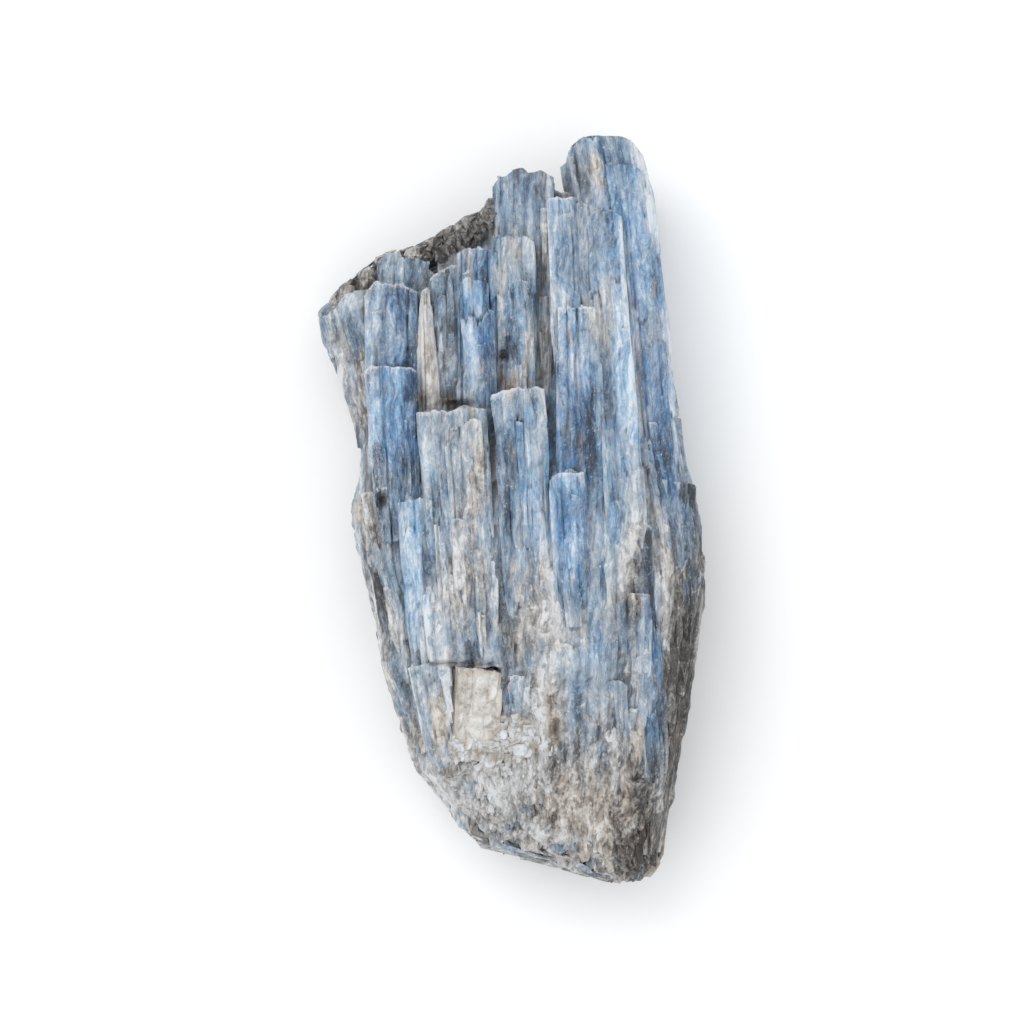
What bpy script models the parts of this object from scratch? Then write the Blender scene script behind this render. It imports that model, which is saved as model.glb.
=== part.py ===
"""A rough kyanite blade cluster lying on its back: one mass of blades grown together, and a pale mica book.

The frame: +Y runs along the blades to their stepped ends, +X is to the right when the stepped face is seen from
above, and +Z points out of that face. The origin is the middle of the object's box on the surface it rests on.
Sizes and places below are in millimetres, and MM turns them into Blender's metres.
"""

from dataclasses import dataclass

import bmesh
import bpy
import numpy as np
from mathutils import Matrix, Vector

MM = 0.001
SEED = 7

KYANITE_COLOUR = (0.33, 0.42, 0.54)
MICA_COLOUR = (0.62, 0.60, 0.57)

# The whole piece, which everything below is drawn inside
LENGTH = 80.0
WIDTH = 41.3

# The ground mass: its left edge, right edge, crown and underside at stations along the blades
STATIONS = (
    # y, left x, right x, crown z, underside z
    (-39.8, 8.0, 15.0, 7.6, 3.0),
    (-37.0, -0.5, 16.3, 10.8, 1.6),
    (-34.6, -4.4, 16.5, 12.4, 0.8),
    (-31.5, -7.0, 17.0, 13.4, 0.2),
    (-27.5, -10.2, 17.7, 14.6, -0.6),
    (-22.5, -11.9, 19.2, 15.9, -0.9),
    (-17.0, -13.5, 20.1, 17.1, -0.9),
    (-11.5, -14.8, 20.7, 18.0, -0.9),
    (-6.0, -15.8, 21.0, 18.6, -0.9),
    (-1.0, -16.7, 20.5, 18.4, -0.9),
    (3.5, -15.9, 19.5, 17.8, -0.9),
    (8.0, -16.0, 18.9, 16.6, -0.9),
    (12.5, -17.4, 18.3, 15.2, -0.9),
    (17.5, -19.4, 17.4, 14.3, -0.6),
    (21.5, -20.1, 16.6, 13.2, 0.4),
    (24.5, -16.0, 15.8, 11.8, 1.6),
    (27.5, -10.4, 14.8, 10.6, 3.0),
    (30.0, -4.2, 13.6, 9.8, 4.4),
)
SECTION_POINTS = 22
SECTION_SQUARENESS = 2.7  # the power of the superellipse that a cross-section follows
WIDEST_AT = 0.42  # the height of the widest line, as a share of the crown
LUMPS = 0.012  # how far the broken ground mass strays from its smooth form, as a share of its width
BED = 0.7  # how far the ground mass's sides lie behind the edges of the blades

# How a blade's octagonal cross-section and its broken ends are drawn
CHAMFER = 0.55
HIDDEN_SIDE = 0.94  # width of a blade's hidden side as a share of its face
END_ROUNDING = 0.5
BREAK_SLOPE = 0.22  # how steeply a broken end may lean, as rise over run

# The blades that lie edge on along both sides, in rows at these heights of their faces
ROW_DEPTH = 3.3
FLANK_LEVELS = (3.4, 6.7, 10.0, 13.2)
FLANK_SPAN = (-33.0, 14.0)  # y that a row starts from, and the y after which it starts no further blade
FLANK_END = 25.0
FLANK_LENGTHS = (15.0, 27.0)
FLANK_WIDTH = 7.0
FLANK_OFFSET = (-0.6, 0.3)  # how far an edge may stand inside or outside the outline
FLANK_ROLL = (-6.0, 10.0)

# The blades whose broken ends fill the stepped end and the foot
REAR_LEVELS = (5.2, 8.6, 11.8)
FOOT_LEVELS = (3.6, 7.4, 10.8)
END_WIDTHS = (4.2, 6.6)
END_LENGTH = 17.0
END_SETBACK = (-0.4, 1.2)
ROW_SETBACK = 1.1  # how much further back the rows above and below the middle one stand
END_TILT = 0.5
END_ROLL = 9.0
END_OVERLAP = 0.5

# The mica book in its pocket, and the clearance that keeps the two meshes apart
BOOK_CENTRE = (-3.7, -20.8)
BOOK_SIZE = (5.2, 9.0)
BOOK_FACE = 18.3
BOOK_DEPTH = 3.4
BOOK_LEAN = -3.0  # degrees about the upright
BOOK_CORNER = 1.2
BOOK_STEP = 0.7  # how far the thick sheet's top lies below the book's face
BOOK_SHEETS = (
    # offset of the sheet, its share of the book's size, underside and top against the book's face
    ((0.3, 0.2), 0.86, -0.9, -0.3),
    ((-0.2, 0.9), 0.66, -0.5, 0.0),
)
POCKET_CLEARANCE = 0.35


@dataclass
class Blade:
    """One kyanite blade, from its foot to its broken top end. The face is its broad outer side."""

    top: tuple  # x, y of the middle of the top end
    foot: tuple  # x, y of the middle of the foot end
    face: tuple  # z of the face at the top end and at the foot end
    width: tuple  # at the top end and at the foot end
    depth: float
    roll: float = 0.0  # degrees; positive lowers the right edge
    slope: float = 0.0  # lean of the top end across the face; positive draws the right side back


# The blades that the stepped face shows, from the back of the stair to the front
FACE_BLADES = {
    "tall_right": Blade((10.2, 39.9), (17.0, -15.0), (13.8, 15.0), (8.2, 7.0), 6.6, 12, 0.12),
    "tall_right_rib": Blade((11.7, 37.6), (17.4, -10.0), (14.7, 15.6), (4.2, 4.0), 3.6, 12, 0.35),
    "back_middle": Blade((1.2, 36.9), (1.0, 6.0), (13.2, 15.0), (6.4, 6.4), 5.4, -5, 0.06),
    "back_notch": Blade((5.0, 34.9), (5.6, 14.0), (12.2, 13.8), (4.4, 4.6), 4.0, 3, 0.3),
    "pale_strip": Blade((5.3, 34.1), (5.9, 14.0), (14.6, 17.2), (3.2, 3.4), 3.0, 2, -0.05),
    "right_gap": Blade((8.2, 33.2), (9.0, 10.0), (14.3, 17.0), (3.2, 3.4), 3.0, -4, 0.1),
    "right_step": Blade((9.7, 32.5), (12.2, -6.0), (15.6, 18.9), (4.0, 4.2), 3.6, 4, -0.1),
    "middle_shoulder": Blade((0.0, 29.8), (0.6, 6.0), (15.0, 17.0), (4.0, 4.4), 3.4, -6, 0.12),
    "left_shoulder": Blade((-3.9, 28.5), (-3.5, 6.0), (15.1, 16.8), (4.2, 4.4), 3.6, -4, -0.12),
    "left_shoulder_step": Blade((-4.0, 25.2), (-3.3, 7.0), (16.1, 17.6), (3.0, 3.2), 2.6, -3, 0.1),
    "striped_recess": Blade((-7.0, 26.4), (-6.4, 6.0), (14.2, 15.6), (3.2, 3.0), 3.2, 6, -0.2),
    "beige_wedge": Blade((-9.1, 24.0), (-8.8, 8.0), (15.2, 16.0), (1.6, 2.9), 3.0, 0, 0.1),
    "left_top": Blade((-13.0, 24.8), (-12.8, 8.0), (14.6, 16.4), (5.8, 5.8), 4.4, -5, -0.08),
    "left_corner": Blade((-18.9, 22.8), (-14.0, 6.0), (12.4, 13.4), (5.4, 4.0), 5.6, -26, -0.3),
    "left_corner_low": Blade((-18.6, 21.6), (-14.4, 4.0), (8.4, 8.8), (4.8, 4.4), 5.0, -8, -0.2),
    "left_lens": Blade((-11.6, 27.7), (-11.4, 15.0), (11.4, 13.0), (5.2, 5.4), 3.8, -2, 0.1),
    "deep_blue": Blade((-12.9, 16.1), (-12.0, -4.0), (16.7, 17.8), (5.4, 5.0), 3.6, -7, 0.05),
    "front_left": Blade((-6.3, 11.1), (-4.6, -17.0), (19.0, 18.1), (7.5, 7.0), 3.8, -5, 0.04),
    "front_left_lip": Blade((-5.2, 10.2), (-3.6, -12.0), (19.8, 18.4), (4.2, 3.6), 2.2, -2, -0.1),
    "front_middle": Blade((0.3, 13.8), (2.0, -13.0), (19.6, 18.6), (5.5, 5.2), 3.8, 2, -0.12),
    "front_right": Blade((6.8, 22.1), (7.3, -14.0), (18.0, 18.6), (4.3, 5.8), 4.0, 3, 0.1),
    "front_right_lip": Blade((5.6, 5.0), (6.6, -13.0), (20.2, 18.4), (3.6, 4.2), 2.0, 0, -0.2),
    "pale_left": Blade((-10.2, 2.1), (-8.6, -18.6), (18.2, 16.6), (4.1, 4.4), 3.4, -9, 0.12),
    "left_flank": Blade((-14.9, 3.0), (-11.4, -22.0), (15.2, 13.4), (4.4, 4.0), 4.8, -34, -0.1),
    "left_flank_low": Blade((-15.7, -1.5), (-11.6, -25.0), (10.6, 9.6), (4.0, 4.0), 4.6, -60, -0.1),
    "blue_rib": Blade((13.6, -1.0), (15.9, -31.0), (18.2, 14.0), (2.4, 2.2), 3.0, 14, 0.3),
    "right_skirt": Blade((18.0, 2.0), (16.0, -35.0), (14.6, 9.4), (4.6, 4.2), 6.2, 38, 0.2),
    "right_skirt_low": Blade((18.9, -8.0), (17.2, -33.0), (9.6, 7.6), (4.4, 4.0), 5.2, 66, 0.2),
    "middle_low": Blade((4.4, -13.0), (5.0, -31.0), (18.9, 14.4), (5.2, 5.2), 3.4, 2, 0.1),
    "low_right": Blade((12.9, -8.0), (13.0, -30.0), (18.6, 14.0), (3.6, 3.8), 3.4, 8, -0.2),
    "low_step": Blade((9.9, -17.0), (10.6, -34.6), (18.4, 12.6), (3.9, 4.2), 3.4, 5, 0.08),
    "low_left": Blade((-9.1, -15.6), (-6.0, -30.0), (17.4, 13.8), (4.6, 4.2), 3.6, -16, 0.1),
    "book_side": Blade((0.7, -16.6), (0.0, -33.0), (18.6, 13.4), (3.0, 3.4), 3.6, 3, -0.1),
    "foot_tip": Blade((14.4, -28.0), (12.6, -40.0), (14.4, 8.2), (4.4, 3.6), 5.0, 22, 0.3),
    "foot_ridge": Blade((8.6, -28.0), (8.4, -38.6), (14.9, 10.4), (3.2, 3.0), 3.6, -6, 0.2),
    "foot_middle": Blade((3.0, -26.5), (3.6, -37.4), (15.4, 10.8), (3.4, 3.0), 3.6, 4, 0.1),
    "foot_left": Blade((-4.6, -27.0), (-2.6, -36.0), (14.6, 11.4), (3.8, 3.4), 3.8, -12, 0.1),
}

# The stepped end and the foot as seen from above: x, then y of the outline there
REAR_OUTLINE = (
    (-20.0, 22.4),
    (-16.0, 25.2),
    (-12.0, 27.6),
    (-8.0, 29.2),
    (-4.0, 31.4),
    (0.0, 35.0),
    (5.0, 35.0),
    (7.0, 38.0),
    (12.5, 38.0),
)
FOOT_OUTLINE = (
    (-8.0, -30.2),
    (-5.0, -34.0),
    (0.0, -36.2),
    (6.0, -37.8),
    (11.7, -40.0),
    (15.6, -37.8),
)


def clear_scene():
    for obj in list(bpy.data.objects):
        bpy.data.objects.remove(obj)


def stone(name, colour, roughness):
    """A plain mineral finish."""
    material = bpy.data.materials.new(name)
    material.use_nodes = True
    shader = material.node_tree.nodes["Principled BSDF"]
    shader.inputs["Base Color"].default_value = (*colour, 1.0)
    shader.inputs["Roughness"].default_value = roughness
    shader.inputs["Metallic"].default_value = 0.0
    return material


def new_object(name, mesh_builder, material=None):
    """An object from a bmesh, with its normals turned outwards."""
    bmesh.ops.recalc_face_normals(mesh_builder, faces=mesh_builder.faces)
    mesh = bpy.data.meshes.new(name)
    mesh_builder.to_mesh(mesh)
    mesh_builder.free()
    obj = bpy.data.objects.new(name, mesh)
    if material:
        mesh.materials.append(material)
    return obj


def show(obj):
    bpy.context.scene.collection.objects.link(obj)
    return obj


def as_helper(obj, collection):
    """A shape that only a Boolean reads."""
    collection.objects.link(obj)
    obj.hide_render = True
    obj.display_type = "WIRE"
    return obj


def helper_collection(name):
    collection = bpy.data.collections.new(name)
    bpy.context.scene.collection.children.link(collection)
    return collection


def station_values(y):
    """Left x, right x, crown z and underside z of the ground mass at y."""
    table = np.array(STATIONS)
    return [float(np.interp(y, table[:, 0], table[:, column])) for column in range(1, 5)]


def half_widths(y, z):
    """The ground mass's middle and half width at height z, on its superellipse."""
    left, right, crown, underside = station_values(y)
    widest = WIDEST_AT * crown
    reach = crown - widest if z > widest else widest - underside
    share = min(abs(z - widest) / reach, 0.98)
    half = (right - left) / 2 * (1 - share**SECTION_SQUARENESS) ** (1 / SECTION_SQUARENESS)
    return (left + right) / 2, half


def section(y, rng):
    """Points round the ground mass at y, with a little seeded roughness."""
    left, right, crown, underside = station_values(y)
    widest = WIDEST_AT * crown
    lumps = LUMPS * (right - left)
    points = []
    for angle in np.linspace(0, 2 * np.pi, SECTION_POINTS, endpoint=False):
        across, up = np.cos(angle), np.sin(angle)
        power = 2 / SECTION_SQUARENESS
        x = (left + right) / 2 + ((right - left) / 2 - BED) * np.sign(across) * abs(across) ** power
        rise = crown - widest if up > 0 else widest - underside
        z = widest + rise * np.sign(up) * abs(up) ** power
        rough = rng.uniform(-lumps, lumps, 3)
        points.append(Vector((x + rough[0], y + rough[1], z + rough[2])) * MM)
    return points


def ground_mass(material):
    """The closed body that the blades grow together in, lofted through its stations."""
    rng = np.random.default_rng(SEED)
    builder = bmesh.new()
    rings = []
    for y, *_ in STATIONS:
        verts = [builder.verts.new(point) for point in section(y, rng)]
        rings.append([builder.edges.new((a, b)) for a, b in zip(verts, verts[1:] + verts[:1], strict=True)])
    for lower, upper in zip(rings, rings[1:], strict=False):
        bmesh.ops.bridge_loops(builder, edges=lower + upper)
    bmesh.ops.holes_fill(builder, edges=rings[0] + rings[-1], sides=SECTION_POINTS)
    bmesh.ops.triangulate(builder, faces=builder.faces)
    return new_object("kyanite_blades", builder, material)


def profile(width, depth):
    """The octagon of a blade's cross-section: across, and down from its face."""
    half = width / 2
    hidden = half * HIDDEN_SIDE
    chamfer = min(CHAMFER, width / 4, depth / 4)
    return (
        (-half + chamfer, 0.0),
        (half - chamfer, 0.0),
        (half, -chamfer),
        (hidden, -depth + chamfer),
        (hidden - chamfer, -depth),
        (-hidden + chamfer, -depth),
        (-hidden, -depth + chamfer),
        (-half, -chamfer),
    )


def blade_axes(blade):
    """The foot, the length, and the directions along, across and out of the face."""
    foot = Vector((*blade.foot, blade.face[1]))
    top = Vector((*blade.top, blade.face[0]))
    along = (top - foot).normalized()
    level = Vector((along.y, -along.x, 0)).normalized()
    roll = np.radians(blade.roll)
    across = level * np.cos(roll) - level.cross(along).normalized() * np.sin(roll)
    return foot, (top - foot).length, along, across, across.cross(along).normalized()


def blade_solid(name, blade):
    """Carries the octagon from the foot end to the top end by extruding its face, ring by ring."""
    foot, length, along, across, out = blade_axes(blade)
    rings = (
        # distance from the foot, how much the ring shrinks, which way the break leans
        (0.0, END_ROUNDING, -1),
        (END_ROUNDING, 0.0, -1),
        (length / 2, 0.0, 0),
        (length - END_ROUNDING, 0.0, 1),
        (length, END_ROUNDING, 1),
    )
    builder = bmesh.new()
    cap = None
    for number, (distance, shrink, leaning) in enumerate(rings):
        width = np.interp(distance, (0, length), (blade.width[1], blade.width[0])) - 2 * shrink
        places = []
        for u, w in profile(width, blade.depth - 2 * shrink):
            reach = distance - leaning * blade.slope * u
            places.append((foot + along * reach + across * u + out * (w - shrink)) * MM)
        if number == 0:
            cap = builder.faces.new([builder.verts.new(place) for place in places])
            continue
        rim = cap
        made = bmesh.ops.extrude_face_region(builder, geom=[rim])["geom"]
        cap = next(item for item in made if isinstance(item, bmesh.types.BMFace))
        for vert, place in zip(cap.verts, places, strict=True):
            vert.co = place
        if number > 1:
            builder.faces.remove(rim)
    return new_object(name, builder)


def between(low, high, rng):
    return float(rng.uniform(low, high))


def flank_edges(side, level, ys, rng):
    """The middle x of a flank blade at each of ys, so that its outer edge follows the outline."""
    middles = []
    for y in ys:
        middle, half = half_widths(y, level - ROW_DEPTH / 2)
        middles.append(middle + side * (half + between(*FLANK_OFFSET, rng) - FLANK_WIDTH / 2))
    return middles


def flank_blades():
    """Blades stacked edge on along both sides, each row a run of two or three."""
    rng = np.random.default_rng(SEED + 1)
    made = {}
    for side, label in ((-1, "left"), (1, "right")):
        for level in FLANK_LEVELS:
            y = FLANK_SPAN[0] + between(0, 4, rng)
            while y < FLANK_SPAN[1]:
                end = min(y + between(*FLANK_LENGTHS, rng), FLANK_END)
                top_x, foot_x = flank_edges(side, level, (end, y), rng)
                made[f"{label}_{len(made)}"] = Blade(
                    top=(top_x, end),
                    foot=(foot_x, y),
                    face=(level + between(-0.3, 0.3, rng), level),
                    width=(FLANK_WIDTH, FLANK_WIDTH),
                    depth=ROW_DEPTH + between(-0.2, 0.6, rng),
                    roll=side * between(*FLANK_ROLL, rng),
                    slope=side * between(-BREAK_SLOPE, BREAK_SLOPE, rng),
                )
                y = end + between(-1.5, 1.0, rng)
    return made


def end_blades(outline, levels, inwards, label, seed):
    """Blades whose broken ends fill one end, in rows. The middle row reaches the outline."""
    rng = np.random.default_rng(seed)
    xs, ys = np.array(outline).T
    made = {}
    for row, level in enumerate(levels):
        x = xs[0] + between(0.5, 2.0, rng)
        while x < xs[-1]:
            width = between(*END_WIDTHS, rng)
            middle = min(x + width / 2, xs[-1] - 1.0)
            setback = between(*END_SETBACK, rng) + ROW_SETBACK * abs(row - 1)
            outer = float(np.interp(middle, xs, ys)) + inwards * setback
            top_y, foot_y = sorted((outer, outer + inwards * END_LENGTH), reverse=True)
            tilt = between(-END_TILT, END_TILT, rng)
            made[f"{label}_{len(made)}"] = Blade(
                top=(middle + tilt, top_y),
                foot=(middle - tilt, foot_y),
                face=(level, level),
                width=(width, width),
                depth=ROW_DEPTH + END_OVERLAP,
                roll=between(-END_ROLL, END_ROLL, rng),
                slope=between(-BREAK_SLOPE, BREAK_SLOPE, rng),
            )
            x += width - END_OVERLAP
    return made


def plate(builder, centre, size, low, high, turn, corner):
    """A mica sheet: a rectangle with two opposite corners cut off, extruded from low to high."""
    half_x, half_y = size[0] / 2, size[1] / 2
    outline = (
        (-half_x, -half_y + corner), (-half_x + corner, -half_y), (half_x, -half_y),
        (half_x, half_y - corner), (half_x - corner, half_y), (-half_x, half_y),
    )
    spin = Matrix.Rotation(np.radians(turn), 3, "Z")
    verts = [builder.verts.new((Vector((*centre, low)) + spin @ Vector((x, y, 0))) * MM) for x, y in outline]
    made = bmesh.ops.extrude_face_region(builder, geom=[builder.faces.new(verts)])["geom"]
    top = [item for item in made if isinstance(item, bmesh.types.BMVert)]
    bmesh.ops.translate(builder, verts=top, vec=(0, 0, (high - low) * MM))


def boolean(obj, operation, operand):
    """An exact Boolean with every helper of a collection."""
    modifier = obj.modifiers.new(operation.title(), "BOOLEAN")
    modifier.operation = operation
    modifier.solver = "EXACT"
    modifier.operand_type = "COLLECTION"
    modifier.collection = operand


def kyanite_blades():
    """Every blade joined with the ground mass, cut flat underneath, with the mica book's pocket sunk in it."""
    body = show(ground_mass(stone("kyanite", KYANITE_COLOUR, 0.5)))
    blades = helper_collection("blades")
    rows = dict(FACE_BLADES)
    rows.update(flank_blades())
    rows.update(end_blades(REAR_OUTLINE, REAR_LEVELS, -1, "rear", SEED + 2))
    rows.update(end_blades(FOOT_OUTLINE, FOOT_LEVELS, 1, "foot", SEED + 3))
    for name, blade in rows.items():
        as_helper(blade_solid(name, blade), blades)
    boolean(body, "UNION", blades)
    cuts = helper_collection("cuts")
    under = bmesh.new()
    plate(under, (0, 0), (2 * WIDTH, 2 * LENGTH), -LENGTH, 0, 0, 1)
    as_helper(new_object("rest_plane", under), cuts)
    pocket = bmesh.new()
    sides = [side + 2 * POCKET_CLEARANCE for side in BOOK_SIZE]
    floor = BOOK_FACE - BOOK_DEPTH - POCKET_CLEARANCE
    plate(pocket, BOOK_CENTRE, sides, floor, BOOK_FACE + LENGTH, BOOK_LEAN, BOOK_CORNER)
    as_helper(new_object("book_pocket", pocket), cuts)
    boolean(body, "DIFFERENCE", cuts)


def mica_book():
    """Stacked cleavage sheets: a thick one and two thinner ones left on top, each smaller than the last."""
    thick = bmesh.new()
    plate(thick, BOOK_CENTRE, BOOK_SIZE, BOOK_FACE - BOOK_DEPTH, BOOK_FACE - BOOK_STEP, BOOK_LEAN, BOOK_CORNER)
    body = show(new_object("mica_book", thick, stone("mica", MICA_COLOUR, 0.4)))
    sheets = helper_collection("sheets")
    for number, (offset, share, low, high) in enumerate(BOOK_SHEETS):
        sheet = bmesh.new()
        centre = [a + b for a, b in zip(BOOK_CENTRE, offset, strict=True)]
        sides = [side * share for side in BOOK_SIZE]
        plate(sheet, centre, sides, BOOK_FACE + low, BOOK_FACE + high, BOOK_LEAN, BOOK_CORNER)
        as_helper(new_object(f"sheet_{number}", sheet), sheets)
    boolean(body, "UNION", sheets)


clear_scene()
kyanite_blades()
mica_book()
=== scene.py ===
import bpy
import numpy as np
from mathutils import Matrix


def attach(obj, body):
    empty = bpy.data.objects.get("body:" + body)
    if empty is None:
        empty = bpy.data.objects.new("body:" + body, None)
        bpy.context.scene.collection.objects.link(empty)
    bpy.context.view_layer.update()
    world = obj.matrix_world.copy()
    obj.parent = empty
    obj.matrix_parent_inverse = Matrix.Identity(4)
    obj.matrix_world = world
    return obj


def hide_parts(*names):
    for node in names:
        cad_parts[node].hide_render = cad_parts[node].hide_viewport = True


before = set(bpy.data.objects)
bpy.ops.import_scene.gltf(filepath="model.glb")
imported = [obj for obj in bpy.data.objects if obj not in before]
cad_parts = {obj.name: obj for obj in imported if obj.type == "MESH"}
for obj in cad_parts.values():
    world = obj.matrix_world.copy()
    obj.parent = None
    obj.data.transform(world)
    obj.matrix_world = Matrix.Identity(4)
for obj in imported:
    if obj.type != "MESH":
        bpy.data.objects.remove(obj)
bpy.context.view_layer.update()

# The ground mass: the fibrous kyanite and fine mica that every blade grows out of. It is the dull grey stone
# between the blades, on the flanks, at the foot and on the back, broken along the grain, never cut.

MM = 0.001

# Its left edge, right edge, crown and underside at stations along the grain, in millimetres
STATIONS = np.array([
    # y, left x, right x, crown z, underside z
    (-39.8, 8.0, 15.0, 7.6, 3.0),
    (-37.0, -0.5, 16.3, 10.8, 1.6),
    (-34.6, -5.4, 16.5, 12.4, 0.8),
    (-31.5, -8.0, 17.0, 13.4, 0.2),
    (-27.5, -11.2, 17.7, 14.6, -0.6),
    (-22.5, -12.8, 19.2, 15.9, -0.9),
    (-17.0, -14.2, 20.1, 17.1, -0.9),
    (-11.5, -14.8, 20.7, 18.0, -0.9),
    (-6.0, -16.5, 21.0, 18.6, -0.9),
    (-1.0, -17.6, 20.5, 18.4, -0.9),
    (3.5, -16.9, 19.5, 17.8, -0.9),
    (8.0, -16.6, 18.9, 16.6, -0.9),
    (12.5, -18.1, 18.3, 15.2, -0.9),
    (17.5, -20.4, 17.4, 14.3, -0.6),
    (21.5, -21.6, 16.6, 13.2, 0.4),
    (24.5, -17.6, 15.8, 11.8, 1.6),
    (27.5, -10.4, 14.8, 10.6, 3.0),
    (30.0, -4.2, 13.6, 9.8, 4.4),
])
# Across the grain it is a superellipse: how square that is, and at what share of its height it is widest
SQUARENESS, WIDEST_AT = 2.7, 0.42


def dice(*keys):
    """A repeatable number from 0 to 1 for each set of keys: what is left after the point of a huge sine."""
    mixed = 0.0
    for key, weight in zip(keys, (12.9898, 78.233, 37.719, 94.673), strict=False):
        mixed = mixed + np.asarray(key, float) * weight
    return np.modf(np.abs(np.sin(mixed) * 43758.5453))[0]


def drift(x, y, seed):
    """Smooth random heights from 0 to 1: the dice of the four corners of a square, eased into each other."""
    x, y = np.broadcast_arrays(np.asarray(x, float), np.asarray(y, float))
    left, low = np.floor(x), np.floor(y)
    u, v = x - left, y - low
    u, v = u * u * (3 - 2 * u), v * v * (3 - 2 * v)
    under = dice(left, low, seed) * (1 - u) + dice(left + 1, low, seed) * u
    over = dice(left, low + 1, seed) * (1 - u) + dice(left + 1, low + 1, seed) * u
    return under * (1 - v) + over * v


def rough(x, y, seed, layers=3):
    """Drift added to itself at twice the pitch and half the height, layer by layer, about zero."""
    total = 0.0
    for layer in range(layers):
        total = total + (drift(x * 2**layer, y * 2**layer, seed + 5 * layer) - 0.5) / 2**layer
    return total


def mass_at(y):
    """The mass's left edge, right edge, crown and underside at places along the grain, between the stations."""
    return (np.interp(y, STATIONS[:, 0], STATIONS[:, column]) for column in range(1, 5))


def swell(y):
    """How far the crown stands over its stations: about a millimetre up below the steps, and down behind them."""
    return 1.1 * np.clip((-11 - y) / 5, 0, 1) * np.clip((y + 38) / 4, 0, 1) - 0.9 * np.clip((y - 6) / 4, 0, 1)


def bulge(share):
    """A superellipse's half width at a share of the way from its widest line up or down, as a share of the whole."""
    return (1 - share**SQUARENESS) ** (1 / SQUARENESS)


# Laths split off side by side along the grain: width, length and step in millimetres, coarse to fine
LATHS = ((2.9, 24.0, 0.24), (1.15, 12.0, 0.16), (0.5, 7.0, 0.07))


def laths(across, along, seed):
    """The relief of split laths. Each width cuts the surface into columns that wander a little, each column into
    lengths, and each length gets its own height and tone. Gives the relief in millimetres, the tone about zero,
    the dark of the joints with painted shade at the feet of steps, and the pale bruise on the upper lip of a step,
    which is partly a painted highlight."""
    relief, tone, shade, lip = (np.zeros(np.broadcast(across, along).shape) for _ in range(4))
    for level, (width, length, step) in enumerate(LATHS):
        key = seed + 11.3 * level
        wander = 0.9 * width * (drift(along / length * 1.3, 0.0 * across, key) - 0.5)
        place = (across + wander) / width + 7 * dice(key)
        column = np.floor(place)
        joint = np.minimum(place - column, 1 - place + column) * width
        reach = length * (0.5 + dice(column, key))
        ragged = 0.5 * (drift(across / 0.4, along * 0.0, key + 3) - 0.5) * width
        run = (along + ragged) / reach + 9 * dice(column, key + 1)
        block = np.floor(run)
        here = dice(column, block, key + 2)
        for way in (1, -1):
            # Towards each end of a length: painted shade where the next one stands higher, and a pale bruise with a
            # painted highlight where it lies lower
            gap = (block + 1 - run if way == 1 else run - block) * reach
            rise = dice(column, block + way, key + 2) - here
            shade += np.clip(rise, 0, 1) * np.exp(-gap / 0.45) * min(1, step * 6)
            lip += np.clip(-rise, 0, 1) * np.exp(-gap / 0.3) * min(1, step * 6)
        groove = np.exp(-((joint / (0.05 + 0.05 * width)) ** 2))
        relief += 2 * step * (here - 0.5) - 0.6 * step * groove
        shade += 0.34 * groove * dice(column, key + 4)
        tone += 0.26 * (dice(column, block, key + 5) - 0.5)
    return relief, tone, np.clip(shade, 0, 1), np.clip(lip, 0, 1)


def shell(points, looks):
    """A closed skin from rings of points. Each ring closes on itself, and the first and last close on a middle
    point. Gives the points, the faces as loops of four or three, and the looks stretched to the middle points."""
    rings, around = points.shape[:2]
    ends = np.stack([points[0].mean(0), points[-1].mean(0)])
    everything = np.concatenate([points.reshape(-1, 3), ends])
    number = np.arange(rings * around).reshape(rings, around)
    beside = np.roll(number, -1, axis=1)
    quads = np.stack([number[:-1], beside[:-1], beside[1:], number[1:]], axis=-1).reshape(-1, 4)
    first, last = rings * around, rings * around + 1
    start = np.stack([beside[0], number[0], np.full(around, first)], axis=-1)
    stop = np.stack([number[-1], beside[-1], np.full(around, last)], axis=-1)
    stretched = {name: np.concatenate([value.ravel(), [value[0].mean(), value[-1].mean()]])
                 for name, value in looks.items()}
    return everything, quads, np.concatenate([start, stop]), stretched


# What every point carries for its finish: how light it is, the painted shade in joints and hollows, dark as grime,
# the pale bruise on broken lips, which is partly a painted highlight, how far kyanite gives way to grey stone, and
# the tan of iron
LOOKS = ("tone", "shade", "lip", "dull", "stain")


def stone_piece(name, shells):
    """One object from many closed skins, with the looks of every point as attributes of its mesh."""
    points = np.concatenate([skin[0] for skin in shells])
    offsets = np.cumsum([0] + [len(skin[0]) for skin in shells[:-1]])
    quads = np.concatenate([skin[1] + offset for skin, offset in zip(shells, offsets, strict=True)])
    threes = np.concatenate([skin[2] + offset for skin, offset in zip(shells, offsets, strict=True)])
    mesh = bpy.data.meshes.new(name)
    corners = np.concatenate([quads.ravel(), threes.ravel()])
    counts = np.concatenate([np.full(len(quads), 4), np.full(len(threes), 3)])
    mesh.vertices.add(len(points))
    mesh.vertices.foreach_set("co", (points * MM).ravel())
    mesh.loops.add(len(corners))
    mesh.loops.foreach_set("vertex_index", corners)
    mesh.polygons.add(len(counts))
    mesh.polygons.foreach_set("loop_start", np.cumsum(counts) - counts)
    for look in LOOKS:
        layer = mesh.attributes.new(look, "FLOAT", "POINT")
        layer.data.foreach_set("value", np.concatenate([skin[3][look] for skin in shells]))
    mesh.update(calc_edges=True)
    mesh.validate()
    mesh.polygons.foreach_set("use_smooth", np.ones(len(counts), bool))
    mesh.set_sharp_from_angle(angle=0.7)
    piece = bpy.data.objects.new(name, mesh)
    bpy.context.scene.collection.objects.link(piece)
    return piece


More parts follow.
